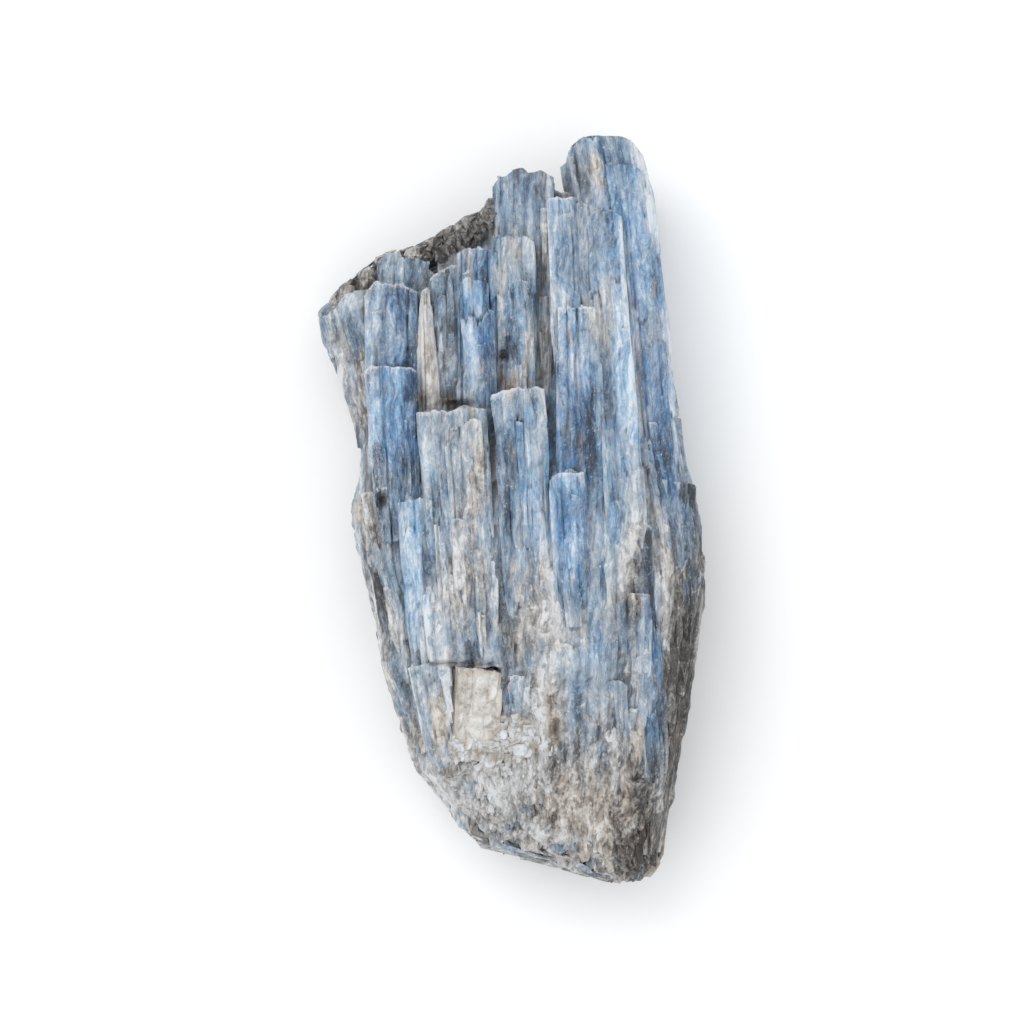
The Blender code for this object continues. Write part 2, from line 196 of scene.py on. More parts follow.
def hollows(skins, cell=0.45, reach=3):
    """Paints shade onto what lies lower than the stone round it, and a pale painted highlight onto what stands
    higher.
    The highest point in each small square of the view from above makes a map, the map is averaged over a wider
    square, and every point that the view reaches, away from the outline, is compared with that average."""
    allpoints = np.concatenate([skin[0] for skin in skins])
    corner = allpoints[:, :2].min(0) - cell * (reach + 2)
    squares = ((allpoints[:, :2] - corner) / cell).astype(int)
    size = squares.max(0) + reach + 2
    top = np.full(size, -99.0)
    np.maximum.at(top, (squares[:, 0], squares[:, 1]), allpoints[:, 2])
    known = top > -50
    total, count = np.zeros(size), np.zeros(size)
    for i in range(-reach, reach + 1):
        for j in range(-reach, reach + 1):
            total += np.roll(np.where(known, top, 0), (i, j), (0, 1))
            count += np.roll(known, (i, j), (0, 1))
    middle = total / np.maximum(count, 1)
    thickness, full = 1.6, 0.8 * (2 * reach + 1) ** 2
    for points, _, _, looks in skins:
        place = ((points[:, :2] - corner) / cell).astype(int)
        here = (place[:, 0], place[:, 1])
        seen = (points[:, 2] > top[here] - thickness) & (count[here] > full)
        below = np.where(seen, middle[here] - points[:, 2], 0)
        # Painted shade in the hollows, and a painted highlight on what stands higher
        looks["shade"] = np.clip(looks["shade"] + np.clip(below - 0.30, 0, 1) * 0.5, 0, 1)
        looks["lip"] = np.clip(looks["lip"] + np.clip(-below - 0.25, 0, 1) * 0.45, 0, 1)


# Pits: middle x and y, half width, half length, depth, painted shade with grime, and stain
PITS = (
    (7.5, 35.8, 1.4, 3.8, 0.55, 0.15, 0.1),
    (-13.6, 1.2, 0.55, 0.7, 1.3, 0.75, 0.5),
    (-0.9, 16.4, 0.5, 0.45, 1.0, 0.5, 0.7),
    (4.4, -22.8, 0.45, 1.1, 0.9, 0.6, 0.5),
    (3.7, -20.3, 0.35, 1.6, 0.5, 0.3, 0.6),
    (-5.5, -15.9, 3.8, 0.32, 0.6, 0.6, 0.4),
    (-5.6, 11.2, 1.5, 0.45, 0.9, 0.6, 0.7),
    (-9.4, 11.9, 1.4, 0.40, 0.4, 0.1, 0.6),
)
# The pocket that the mica fills: its middle in x and y, its half width and half length, and how deep it is sunk
POCKET, POCKET_HALF, POCKET_DEEP = (-3.75, -20.75), (2.45, 4.35), 4.6


def pitted(skins):
    """Sinks the pits: everything above falls in by a rounded bell's depth and is darkened with painted shade and
    grime and stained. Then sinks the pocket that the mica fills, whose rim just laps over its edge, and darkens
    it with painted shade. Nothing goes under the resting face."""
    for points, _, _, looks in skins:
        x, y = points[:, 0], points[:, 1]
        for at_x, at_y, wide, long, deep, shade_and_dirt, stain in PITS:
            bell = np.exp(-((((x - at_x) / wide) ** 2 + ((y - at_y) / long) ** 2) ** 2)) * (points[:, 2] > 8)
            points[:, 2] -= deep * bell
            # Painted shade with grime in each pit, then its stain
            looks["shade"] = np.clip(looks["shade"] + shade_and_dirt * bell, 0, 1)
            looks["stain"] = np.clip(looks["stain"] + stain * bell, 0, 1)
        aside, away = POCKET_HALF[0] - np.abs(x - POCKET[0]), POCKET_HALF[1] - np.abs(y - POCKET[1])
        inside = np.minimum(aside, away) + 0.25 * rough(x / 0.8, y / 0.8, 41)
        pocket = np.clip(inside / 0.3 + 0.5, 0, 1) * (points[:, 2] > 12)
        points[:, 2] = np.where(pocket > 0, np.minimum(points[:, 2], 19 - POCKET_DEEP * pocket), points[:, 2])
        # Painted shade in the pocket
        looks["shade"] = np.clip(looks["shade"] + 0.35 * pocket, 0, 1)
        points[:, 2] = np.maximum(points[:, 2], 0)


# The outline seen from above: its left and right side, each as y and x in millimetres
LEFT_SIDE = np.array([
    (-40.0, 11.4), (-38.7, 9.5), (-37.6, 6.2), (-36.1, 0.0), (-35.6, -3.3), (-33.0, -6.1), (-30.7, -7.8),
    (-28.4, -10.0), (-26.2, -11.2), (-22.8, -12.0), (-20.5, -12.4), (-18.2, -13.5), (-14.9, -14.3), (-9.8, -15.2),
    (-3.6, -16.6), (1.6, -17.2), (3.0, -16.4), (5.6, -16.0), (8.4, -16.3), (12.4, -17.7), (15.8, -19.2),
    (19.1, -20.6), (22.0, -20.8), (22.9, -20.0), (25.1, -16.4), (27.1, -14.1), (27.8, -12.0), (28.5, -9.5),
    (29.6, -7.2), (31.1, -5.6), (31.5, -3.8), (32.8, -2.8), (35.3, -1.4), (36.5, 0.2), (36.9, 2.5), (37.2, 6.0),
    (38.7, 6.2), (39.6, 7.2), (40.2, 10.2),
])
RIGHT_SIDE = np.array([
    (-40.0, 12.0), (-38.9, 14.3), (-37.8, 16.2), (-34.7, 16.6), (-29.0, 17.4), (-23.9, 18.6), (-20.4, 19.7),
    (-14.9, 20.0), (-8.0, 20.8), (-5.2, 20.8), (2.7, 20.0), (14.1, 18.6), (23.8, 17.1), (28.2, 16.3), (33.3, 15.1),
    (37.9, 13.9), (39.4, 12.6), (40.2, 10.6),
])


def trimmed(skins):
    """Draws in what stands outside the outline seen from above: only a tenth of its way out is left. The line
    itself is jagged, more so along the broken upper left rim and round the foot, hardly along the upper right
    blade, and lies further in under the stone's belly."""
    half_length, belly = 39.8, 4.5
    for points, _, _, _ in skins:
        x, y, z = points.T
        under = np.clip((belly - z) / belly, 0, 1) ** 2
        calm = 1 - 0.8 * np.clip((x - 3) / 3, 0, 1) * np.clip((y - 15) / 5, 0, 1)
        jag = rough(y / 1.4, z / 1.4, 43) * np.where(y > 23, 1.0, 0.6) * calm
        at = y + (0.9 + 1.2 * np.clip((-30 - y) / 3, 0, 1)) * calm * rough(x / 1.6, z / 1.3, 47)
        at = at + 1.2 * under * np.sign(y) * (np.abs(y) > 25)
        left, right = (np.interp(at, side[:, 0], side[:, 1]) for side in (LEFT_SIDE, RIGHT_SIDE))
        left, right = left + jag + 1.2 * under, right - jag - 1.2 * under
        points[:, 0] = np.where(x < left, left - 0.1 * (left - x), np.where(x > right, right + 0.1 * (x - right), x))
        past = np.abs(y) - half_length
        points[:, 1] = np.where(past > 0, np.sign(y) * (half_length + 0.15 * past), y)


def dullness(x, y, z):
    """How far kyanite gives way to grey fibrous stone: at the foot, on the lower right flank and on the back."""
    foot = np.clip((-20 - y) / 14, 0, 1)
    right = np.clip((x - 14.5) / 4, 0, 1) * np.clip((2 - y) / 14, 0, 1)
    back = np.clip((7 - z) / 7, 0, 1) * 0.6
    wisps = rough(x / 3.0, y / 9.0, 61) * 0.5
    return np.clip(np.maximum(np.maximum(foot, right), back) + wisps, 0, 1)


# Patches where the stone changes colour, in millimetres: middle x and y, half width, half length, and what each
# adds to the dullness (less than nothing is a purer blue), to the stain and to the tone. A few dark ones are
# painted shade, where the stone turns away from the light or lies in a recess.
PATCHES = (
    (5.6, 0.5, 2.3, 6.5, -1.05, -0.3, 0.15),
    (0.6, 32.8, 3.4, 3.6, -0.3, -0.2, -0.04),
    (6.4, 14.5, 1.9, 7.0, -0.35, 0.0, 0.02),
    (-12.6, 10.5, 2.6, 6.5, -0.50, -0.3, -0.04),
    (-13.0, 20.6, 2.6, 3.4, -0.25, -0.2, -0.10),
    (-4.0, 20.5, 1.5, 5.0, -0.45, -0.2, 0.0),
    (12.4, 27.0, 2.2, 10.0, -0.35, -0.2, 0.06),
    (12.8, 14.0, 2.2, 9.0, -0.50, -0.1, 0.14),
    (16.4, 12.0, 1.5, 17.0, -0.4, -0.4, -0.09),
    (8.5, -14.0, 1.4, 2.6, -0.45, -0.3, -0.04),
    (14.8, -14.0, 1.1, 12.0, -0.30, -0.4, 0.04),
    (-10.3, -5.5, 1.9, 8.0, -0.40, -0.4, -0.04),
    (-10.5, 9.5, 1.6, 4.5, -0.40, -0.3, -0.12),
    (-2.6, 19.0, 0.9, 4.0, -0.60, -0.3, -0.10),
    (2.1, 2.0, 1.0, 9.0, -0.30, -0.4, 0.02),
    (-3.9, 3.5, 1.1, 6.5, 0.5, 0.30, -0.02),
    (-4.8, -8.5, 3.2, 4.5, 0.35, 0.25, -0.04),
    (2.6, -12.0, 4.2, 3.6, 0.4, 0.35, 0.04),
    (9.2, 21.5, 1.6, 3.2, 0.35, 0.50, 0.10),
    (0.2, 28.3, 1.2, 3.4, 0.3, 0.40, 0.0),
    (8.9, 35.4, 0.5, 1.9, 0.4, 1.00, -0.02),
    # Painted shade in the recess at the upper left of the tall blade
    (7.4, 36.0, 1.1, 3.4, 0.2, 0.10, -0.26),
    (-18.2, 17.8, 1.1, 4.0, 0.25, 0.10, 0.10),
    (-19.9, 18.8, 0.7, 3.0, -0.5, -0.3, -0.20),
    (-9.0, 11.8, 4.5, 0.8, 0.4, 0.45, 0.0),
    (5.8, 8.0, 1.6, 2.0, 0.4, 0.10, 0.05),
    (12.5, -6.0, 1.6, 6.0, 0.45, 0.25, 0.02),
    (3.5, -21.0, 2.0, 5.0, 0.4, 0.46, 0.18),
    (7.5, -31.5, 5.0, 4.0, 0.3, 0.75, -0.04),
    (-2.0, -29.5, 4.0, 3.0, 0.1, -0.2, 0.14),
    # Painted shade at the tip of the foot, which turns away from the light
    (14.0, -36.0, 4.0, 4.5, 0.3, 0.35, -0.42),
    # Painted shade down the right flank, which turns away from the light
    (18.8, -4.0, 2.2, 7.0, -0.2, -0.2, -0.32),
    (18.4, -21.0, 2.4, 13.0, 0.3, 0.10, -0.62),
    (6.8, 9.0, 1.8, 4.0, -0.2, -0.1, -0.22),
    (-3.4, -26.6, 2.6, 1.4, 0.5, 0.0, 0.10),
    (-0.1, 14.8, 1.8, 1.0, 0.4, 0.8, -0.04),
    (-7.6, -21.6, 0.6, 3.6, 0.7, 1.2, 0.24),
    (-5.6, -26.2, 1.9, 0.6, 0.4, 0.6, 0.14),
    (4.0, -20.6, 0.6, 1.9, 0.4, 0.9, 0.16),
    (4.3, 8.0, 0.9, 5.5, -0.5, -0.3, -0.08),
    (16.0, -3.0, 3.0, 4.5, 0.3, 0.1, 0.04),
    (-1.5, 22.5, 0.6, 5.5, 0.30, 0.40, 0.10),
    (1.6, 18.0, 0.5, 5.0, 0.3, 0.40, 0.10),
    (-15.6, 13.5, 0.6, 5.0, 0.35, 0.30, 0.14),
    (-14.9, -9.0, 1.9, 12.0, 0.15, -0.2, -0.26),
    (2.0, -24.5, 2.6, 4.0, 0.2, -0.3, 0.14),
)


def patches(x, y):
    """What the colour patches add at each point: soft ellipses whose edges run out along the grain."""
    x = x + 1.0 * rough(x / 1.1, y / 5.0, 71)
    y = y + 3.0 * rough(x / 0.6, y / 7.0, 73)
    dull, stain, tone = 0.0, 0.0, 0.0
    for at_x, at_y, wide, long, more_dull, more_stain, more_tone in PATCHES:
        inside = np.exp(-((((x - at_x) / wide) ** 2 + ((y - at_y) / long) ** 2) ** 2))
        dull, stain, tone = dull + more_dull * inside, stain + more_stain * inside, tone + more_tone * inside
    return dull, stain, tone


def stained(x, y, z, seed):
    """Where iron has stained the stone tan: long patches along the grain, more of them lower down."""
    x = x + 0.9 * np.minimum(z - 11, 0)
    patch = drift(x / 1.5, y / 6.0, seed) + 0.45 * rough(x / 0.6, y / 3.0, seed + 1)
    return np.clip((patch - 0.76 + 0.12 * np.clip(-y / 30, -0.6, 1)) * 4, 0, 1)


def ground_mass():
    """A ring of a superellipse at each place along the grain, its angle run round from the underside. It is stood
    out along its normal by laths and lumps, which give way to knobs and grains at the nose, the granular foot."""
    rings, around, bed, whole_girth = 240, 310, 0.7, 104.0
    foot_end, rear_end = -39.8, 30.0
    t = np.linspace(0, 1, rings)
    y = np.interp(t, [0, 0.012, 0.988, 1], [foot_end, foot_end + 0.5, rear_end - 0.4, rear_end])[:, None]
    angle = np.linspace(0, 2 * np.pi, around, endpoint=False)[None, :] - np.pi / 2
    left, right, crown, under = mass_at(y)
    crown = crown + swell(y)
    widest = WIDEST_AT * crown
    power = 2 / SQUARENESS
    cos, sin = np.cos(angle), np.sin(angle)
    rise = np.where(sin > 0, crown - widest, widest - under)
    x = (left + right) / 2 + ((right - left) / 2 - bed) * np.sign(cos) * np.abs(cos) ** power
    z = widest + rise * np.sign(sin) * np.abs(sin) ** power

    # Laths and lumps over most of it
    girth = np.concatenate([np.zeros((rings, 1)), np.cumsum(np.hypot(np.diff(x), np.diff(z)), axis=1)], axis=1)
    girth = girth / girth[:, -1:] * whole_girth
    relief, tone, shade, lip = laths(girth, y + 0 * girth, 3.7)
    lumps = 1.1 * rough(girth / 5.0, y / 9.0, 21) + 0.30 * rough(girth / 0.8, y / 1.6, 23)
    closing = np.clip(np.minimum(y - foot_end, rear_end - y) / 1.5, 0, 1)

    # Knobs and grains at the nose, each small block of it with its own tone
    nose = np.clip((-25.0 - y) / 8, 0, 1)
    knobs = 2.1 * np.abs(drift(x / 2.6, y / 3.4, 25) + drift(z / 2.6, (x + y) / 3.4, 26) - 1.0) - 0.6
    grains = knobs + 0.6 * rough(x / 0.9, y / 1.3, 27) + 0.6 * rough(z / 0.9, (y - x) / 1.2, 28)
    block = (np.floor(x / 0.55 + 0.8 * grains), np.floor(y / 0.9), np.floor(z / 0.9))
    tone, shade, lip = (value * (1 - nose) for value in (tone, shade, lip))
    tone = tone + nose * (0.14 + 0.34 * (dice(*block) - 0.5))
    # Painted shade in the valleys between the knobs
    shade = shade + nose * np.clip(-0.35 - grains, 0, 0.5)

    # Both stood out along the superellipse's normal
    stand = (relief * 1.15 + lumps) * closing * (1 - nose)
    stand = stand + grains * nose * np.clip((y - foot_end) / 0.6, 0.3, 1)
    normal_x = np.sign(cos) * np.abs(cos) ** (2 - power) / np.maximum((right - left) / 2, 1)
    normal_z = np.sign(sin) * np.abs(sin) ** (2 - power) / np.maximum(rise, 1)
    size = np.maximum(np.hypot(normal_x, normal_z), 1e-6)
    x = x + stand * normal_x / size
    y = y + 0.25 * rough(girth / 1.1, y / 1.6, 29) * closing + 0.5 * grains * nose
    z = z + stand * normal_z / size
    more_dull, more_stain, more_tone = patches(x, y)
    looks = {
        "tone": 0.50 + tone + 0.3 * rough(girth / 6, y / 14, 31) + more_tone,
        "shade": shade,
        "lip": lip,
        "dull": 0.30 + dullness(x, y, z) + more_dull,
        "stain": np.clip(stained(x, y, z, 33) + more_stain, 0, 1),
    }
    return shell(np.stack([x, y, z], axis=-1)[::-1], {name: value[::-1] for name, value in looks.items()})


class Finish:
    """A material worked out step by step: each step adds a node and gives the socket that the next one takes. The
    patterns are noises on the piece's own coordinates, squeezed more one way to draw them out the other way."""

    def __init__(self, name, index):
        self.material = bpy.data.materials.new(name)
        self.material.use_nodes = True
        self.nodes, self.links = self.material.node_tree.nodes, self.material.node_tree.links
        self.shader = self.nodes["Principled BSDF"].inputs
        self.shader["IOR"].default_value = index
        self.place = self.nodes.new("ShaderNodeTexCoord").outputs["Object"]

    def step(self, kind, output, inputs, **settings):
        """A node of one kind, whose inputs are joined to earlier sockets or set to numbers and colours."""
        node = self.nodes.new("ShaderNode" + kind)
        for name, value in settings.items():
            setattr(node, name, value)
        for name, value in inputs.items():
            if hasattr(value, "is_linked"):
                self.links.new(value, node.inputs[name])
            else:
                node.inputs[name].default_value = value
        return node.outputs[output]

    def look(self, name):
        """The number that every point of the piece carries under a name."""
        return self.step("Attribute", "Fac", {}, attribute_name=name)

    def noise(self, scale, detail, roughness=0.6, distortion=0.0):
        """Layered noise from 0 to 1, with its own scale across, along and up."""
        stretched = self.step("Mapping", "Vector", {"Vector": self.place, "Scale": scale})
        return self.step("TexNoise", "Fac", {"Vector": stretched, "Scale": 1.0, "Detail": detail,
                                             "Roughness": roughness, "Distortion": distortion})

    def cells(self, scale):
        """Box-shaped cells, each with its own number from 0 to 1."""
        stretched = self.step("Mapping", "Vector", {"Vector": self.place, "Scale": scale})
        colour = self.step("TexVoronoi", "Color", {"Vector": stretched, "Scale": 1.0}, distance="CHEBYCHEV")
        return self.step("SeparateColor", "Red", {"Color": colour})

    def add_up(self, start, *parts):
        """The start, plus each pattern times its share."""
        for pattern, share in parts:
            start = self.step("Math", "Value", {0: pattern, 1: share, 2: start}, operation="MULTIPLY_ADD")
        return start

    def spread(self, value, low, high, to_low=0.0, to_high=1.0):
        """A number's run from low to high stretched over another run, and cut off past both ends."""
        return self.step("MapRange", "Result", {"Value": value, "From Min": low, "From Max": high,
                                                "To Min": to_low, "To Max": to_high})

    def ramp(self, value, stops):
        """Colours at stops from -0.33 to 1, which are moved to between 0 and 1, where the ramp itself runs."""
        node = self.nodes.new("ShaderNodeValToRGB")
        bands = node.color_ramp.elements
        while len(bands) < len(stops):
            bands.new(0.5)
        for band, (at, colour) in zip(bands, stops, strict=True):
            band.position = 0.25 + 0.75 * at
            band.color = (*colour, 1)
        self.links.new(self.add_up(0.25, (value, 0.75)), node.inputs["Fac"])
        return node.outputs["Color"]

    def mix(self, share, first, second):
        """A share of the second colour over the first. Either may be the same all over."""
        first, second = (value if hasattr(value, "is_linked") else (*value, 1) for value in (first, second))
        return self.step("Mix", "Result", {"Factor": share, "A": first, "B": second}, data_type="RGBA")

    def done(self, colour, height):
        """Joins the colour and the fine relief to the shader."""
        self.links.new(colour, self.shader["Base Color"])
        relief = self.step("Bump", "Normal", {"Strength": 0.6, "Distance": 0.0003, "Height": height})
        self.links.new(relief, self.shader["Normal"])
        return self.material


def kyanite():
    """Kyanite: streaks of deep and pale blue along the grain over each lath's own tone, grey where it gives way
    to fibrous stone, tan where stained, dark with painted shade and grime in the joints and hollows, white on
    bruised lips, which is partly a painted highlight, and flecked with small painted glints. Every streak is drawn
    out along +Y by squeezing the pattern's coordinates across it."""
    stone = Finish("kyanite", 1.6)
    sway = stone.step("TexNoise", "Color", {"Vector": stone.place, "Scale": 170, "Detail": 2})
    stone.place = stone.step("VectorMath", "Vector", {0: sway, 1: (0.0028, 0.002, 0.0028), 2: stone.place},
                             operation="MULTIPLY_ADD")

    # Streaks, threads, hairs and flecks along the grain, clouds, grains, and two sizes of box-shaped splinters,
    # each as a number about zero
    streaks, threads, hairs, clouds, flecks, grains = (
        stone.add_up(-0.5, (stone.noise(scale, detail, roughness), 1)) for scale, detail, roughness in (
            ((950, 95, 950), 4, 0.65),
            ((2300, 330, 2300), 3, 0.7),
            ((6000, 620, 6000), 2, 0.7),
            ((300, 110, 300), 3, 0.6),
            ((3000, 900, 3000), 3, 0.7),
            ((5200, 3600, 5200), 3, 0.75),
        ))
    facets = stone.add_up(-0.5, (stone.cells((1250, 560, 1250)), 1))
    chips = stone.add_up(-0.5, (stone.cells((3000, 1600, 3000)), 1))

    # Where grey fibrous stone takes over, in patches, and how much of the splinters shows there
    patchy = stone.add_up(stone.look("dull"), (clouds, 1.5), (threads, 0.9), (flecks, 0.8))
    granular = stone.spread(patchy, 0.1, 0.8, 0.08, 0.32)

    tone = stone.add_up(stone.look("tone"), (streaks, 0.95), (threads, 0.45), (hairs, 0.25), (facets, granular),
                        (chips, granular), (clouds, 0.6), (flecks, 0.7), (grains, 0.5))
    pure = stone.ramp(tone, (
        (-0.33, (0.004, 0.010, 0.028)),
        (0.00, (0.014, 0.036, 0.085)),
        (0.25, (0.060, 0.138, 0.270)),
        (0.50, (0.168, 0.300, 0.475)),
        (0.72, (0.330, 0.460, 0.610)),
        (0.95, (0.630, 0.700, 0.755)),
    ))
    blue = stone.ramp(tone, (
        (-0.33, (0.008, 0.011, 0.016)),
        (0.00, (0.028, 0.042, 0.062)),
        (0.22, (0.098, 0.145, 0.205)),
        (0.46, (0.225, 0.298, 0.385)),
        (0.70, (0.385, 0.448, 0.512)),
        (0.95, (0.660, 0.685, 0.700)),
    ))
    grey = stone.ramp(tone, (
        (-0.33, (0.010, 0.008, 0.007)),
        (0.00, (0.040, 0.036, 0.032)),
        (0.28, (0.165, 0.155, 0.145)),
        (0.55, (0.380, 0.370, 0.358)),
        (0.92, (0.660, 0.660, 0.665)),
    ))
    tan = stone.ramp(tone, (
        (-0.30, (0.022, 0.014, 0.009)),
        (0.05, (0.120, 0.082, 0.058)),
        (0.45, (0.385, 0.315, 0.255)),
        (0.90, (0.670, 0.625, 0.575)),
    ))
    colour = stone.mix(stone.spread(patchy, -0.45, 0.12), pure, blue)
    colour = stone.mix(stone.spread(patchy, 0.22, 0.72), colour, grey)
    tanned = stone.add_up(stone.look("stain"), (streaks, 1.2), (flecks, 1.2))
    colour = stone.mix(stone.spread(tanned, 0.30, 0.95, 0.0, 0.8), colour, tan)

    # A little towards green or violet from cloud to cloud, and more or less grey from splinter to splinter
    hue, saturation = stone.add_up(0.5, (clouds, 0.045)), stone.spread(facets, -0.5, 0.5, 0.78, 1.12)
    colour = stone.step("HueSaturation", "Color", {"Hue": hue, "Saturation": saturation, "Color": colour})

    # Bruised lips that are partly a painted highlight, painted shade with grime in the joints and hollows, bluish on
    # the blades and brown on grey stone, and small painted glints
    bruise_and_highlight = stone.add_up(stone.look("lip"), (grains, 1.2))
    colour = stone.mix(stone.spread(bruise_and_highlight, 0.30, 0.85, 0.0, 0.7), colour, (0.69, 0.70, 0.71))
    shade_and_dirt_amount = stone.add_up(stone.look("shade"), (grains, 0.6))
    shade_and_dirt = stone.mix(stone.spread(patchy, 0.0, 0.45), (0.045, 0.062, 0.085), (0.095, 0.075, 0.058))
    colour = stone.mix(stone.spread(shade_and_dirt_amount, 0.22, 0.85, 0.0, 0.85), colour, shade_and_dirt)
    # Painted glints: small pale-blue white points of painted highlight
    painted_glints = stone.spread(stone.add_up(grains, (flecks, 0.5)), 0.14, 0.23, 0.0, 0.5)
    colour = stone.mix(painted_glints, colour, (0.78, 0.83, 0.86))

    stone.links.new(stone.spread(flecks, -0.12, 0.16, 0.58, 0.20), stone.shader["Roughness"])
    height = stone.add_up(0.0, (hairs, 0.25), (streaks, 0.7), (facets, granular), (chips, granular),
                          (threads, 0.45), (flecks, 0.6), (grains, 0.7))
    return stone.done(colour, height)


KYANITE = kyanite()
STONE = {"ground_mass": [ground_mass()]}

# The stepped face: broad kyanite blades lying side by side, each broken off higher or lower than its neighbour.
# They are the same crystal mass, and only their faces, edges and broken upper ends stand clear of it.

# In millimetres: top x, y; foot x, y; face z at top and foot; width at top and foot; depth. Then the roll in
# degrees, the slope of the broken end, and the tone, dullness and stain
FACE_BLADES = {
    "back_steps": (
        (10.0, 40.6, 17.0, -15.0, 13.8, 15.0, 8.6, 7.0, 6.6, 12, 0.14, 0.46, 0.0, 0.05),
        (11.7, 37.6, 17.4, -10.0, 14.0, 15.4, 4.2, 4.0, 3.6, 14, 0.35, 0.42, 0.0, 0.0),
        (1.2, 36.9, 1.0, 6.0, 13.2, 15.0, 6.4, 6.4, 5.4, -5, 0.06, 0.44, 0.25, 0.05),
        (5.0, 34.9, 5.6, 14.0, 12.2, 13.8, 4.4, 4.6, 4.0, 3, 0.3, 0.40, 0.2, 0.35),
        (5.3, 34.1, 5.9, 14.0, 14.6, 17.2, 3.2, 3.4, 3.0, 2, -0.05, 0.46, -0.1, 0.05),
        (8.2, 33.2, 9.0, 10.0, 14.3, 17.0, 3.2, 3.4, 3.0, -4, 0.1, 0.36, 0.0, 0.3),
        (9.7, 32.5, 12.2, -6.0, 15.6, 18.9, 4.0, 4.2, 3.6, 4, -0.1, 0.50, 0.0, 0.15),
        (-11.6, 27.9, -11.4, 15.0, 11.8, 13.0, 5.2, 5.4, 3.8, -2, 0.1, 0.40, 0.15, 0.1),
        (-18.9, 22.8, -14.0, 6.0, 12.4, 13.4, 5.4, 4.0, 5.6, -26, -0.3, 0.62, 0.3, 0.1),
        (-18.6, 21.6, -14.0, 4.0, 8.4, 8.8, 4.8, 3.4, 5.0, -8, -0.2, 0.42, 0.3, 0.1),
    ),
    "middle_steps": (
        (0.0, 29.8, 0.6, 6.0, 15.0, 17.0, 4.0, 4.4, 3.4, -6, 0.12, 0.40, 0.1, 0.1),
        (-3.9, 28.5, -3.5, 6.0, 15.1, 16.8, 4.2, 4.4, 3.6, -4, -0.12, 0.44, 0.0, 0.05),
        (-4.0, 25.2, -3.3, 7.0, 16.1, 17.6, 3.0, 3.2, 2.6, -3, 0.1, 0.30, 0.0, 0.0),
        (-7.0, 26.4, -6.4, 6.0, 14.2, 15.6, 3.2, 3.0, 3.2, 6, -0.2, 0.26, 0.25, 0.05),
        (-9.0, 24.6, -9.0, 8.0, 15.0, 16.0, 0.7, 3.2, 3.0, 0, 0.1, 0.94, 0.55, 0.62),
        (-13.0, 24.8, -12.8, 8.0, 14.6, 16.4, 5.8, 5.8, 4.4, -5, -0.08, 0.34, 0.0, 0.05),
        (-12.9, 16.1, -12.0, -4.0, 16.7, 17.8, 5.4, 5.0, 3.6, -7, 0.05, 0.27, 0.0, 0.0),
        (-10.2, 2.1, -8.6, -18.6, 18.2, 16.6, 4.1, 4.4, 3.4, -9, 0.12, 0.64, 0.0, 0.0),
        (-14.9, 3.0, -11.4, -22.0, 15.2, 13.4, 4.4, 4.0, 4.8, -34, -0.1, 0.44, 0.5, 0.0),
        (-15.7, -1.5, -11.6, -25.0, 10.6, 9.6, 4.0, 4.0, 4.6, -60, -0.1, 0.44, 0.6, 0.1),
        (18.0, 4.0, 16.0, -35.0, 13.9, 9.4, 4.6, 4.2, 6.2, 38, 0.3, 0.42, 0.4, 0.05),
        (18.9, -8.0, 17.2, -33.0, 9.6, 7.6, 4.4, 4.0, 5.2, 66, 0.2, 0.38, 0.8, 0.1),
    ),
    "front_steps": (
        (-6.3, 11.1, -4.6, -17.0, 19.0, 18.1, 7.5, 7.0, 3.8, -5, 0.04, 0.46, 0.15, 0.1),
        (-5.2, 10.2, -3.6, -12.0, 19.8, 18.4, 4.2, 3.6, 2.2, -2, -0.1, 0.50, 0.3, 0.2),
        (0.3, 13.8, 2.0, -13.0, 19.6, 18.6, 5.5, 5.2, 3.8, 2, -0.12, 0.53, 0.1, 0.0),
        (2.0, 13.2, 3.2, -9.0, 19.8, 19.4, 1.7, 1.8, 2.0, 2, -0.1, 0.56, 0.0, 0.0),
        (6.8, 22.1, 7.3, -14.0, 18.0, 18.6, 4.3, 5.8, 4.0, 3, 0.1, 0.40, 0.0, 0.05),
        (5.6, 5.0, 6.6, -13.0, 20.2, 18.4, 3.6, 4.2, 2.0, 0, -0.2, 0.36, 0.0, 0.0),
        (13.6, -1.0, 15.9, -31.0, 18.2, 14.0, 2.4, 2.2, 3.0, 14, 0.3, 0.18, 0.0, 0.0),
        (4.4, -13.0, 5.0, -31.0, 18.5, 14.3, 5.2, 5.2, 3.4, 2, 0.1, 0.60, 0.3, 0.3),
        (12.9, -8.0, 13.0, -30.0, 18.3, 13.9, 3.6, 3.8, 3.4, 8, -0.2, 0.50, 0.25, 0.2),
        (9.9, -17.0, 10.6, -34.6, 18.0, 12.6, 3.9, 4.2, 3.4, 5, 0.08, 0.54, 0.1, 0.1),
        (-9.1, -15.6, -6.0, -30.0, 17.4, 14.0, 4.6, 4.2, 3.6, -13, 0.1, 0.50, 0.15, 0.05),
        (0.7, -16.6, 0.0, -33.0, 18.2, 13.4, 3.0, 3.4, 3.6, 3, -0.1, 0.62, 0.2, 0.0),
        (14.4, -28.0, 12.6, -40.0, 14.4, 8.2, 4.4, 3.6, 5.0, 22, 0.3, 0.34, 0.95, 0.1),
        (8.6, -28.0, 8.4, -38.6, 14.9, 10.4, 3.2, 3.0, 3.6, -6, 0.2, 0.42, 0.9, 0.3),
        (3.0, -26.5, 3.6, -37.4, 15.4, 10.8, 3.4, 3.0, 3.6, 4, 0.1, 0.46, 0.9, 0.3),
        (-4.6, -27.0, -2.6, -36.0, 14.6, 11.4, 3.8, 3.4, 3.8, -12, 0.1, 0.50, 0.9, 0.1),
    ),
}

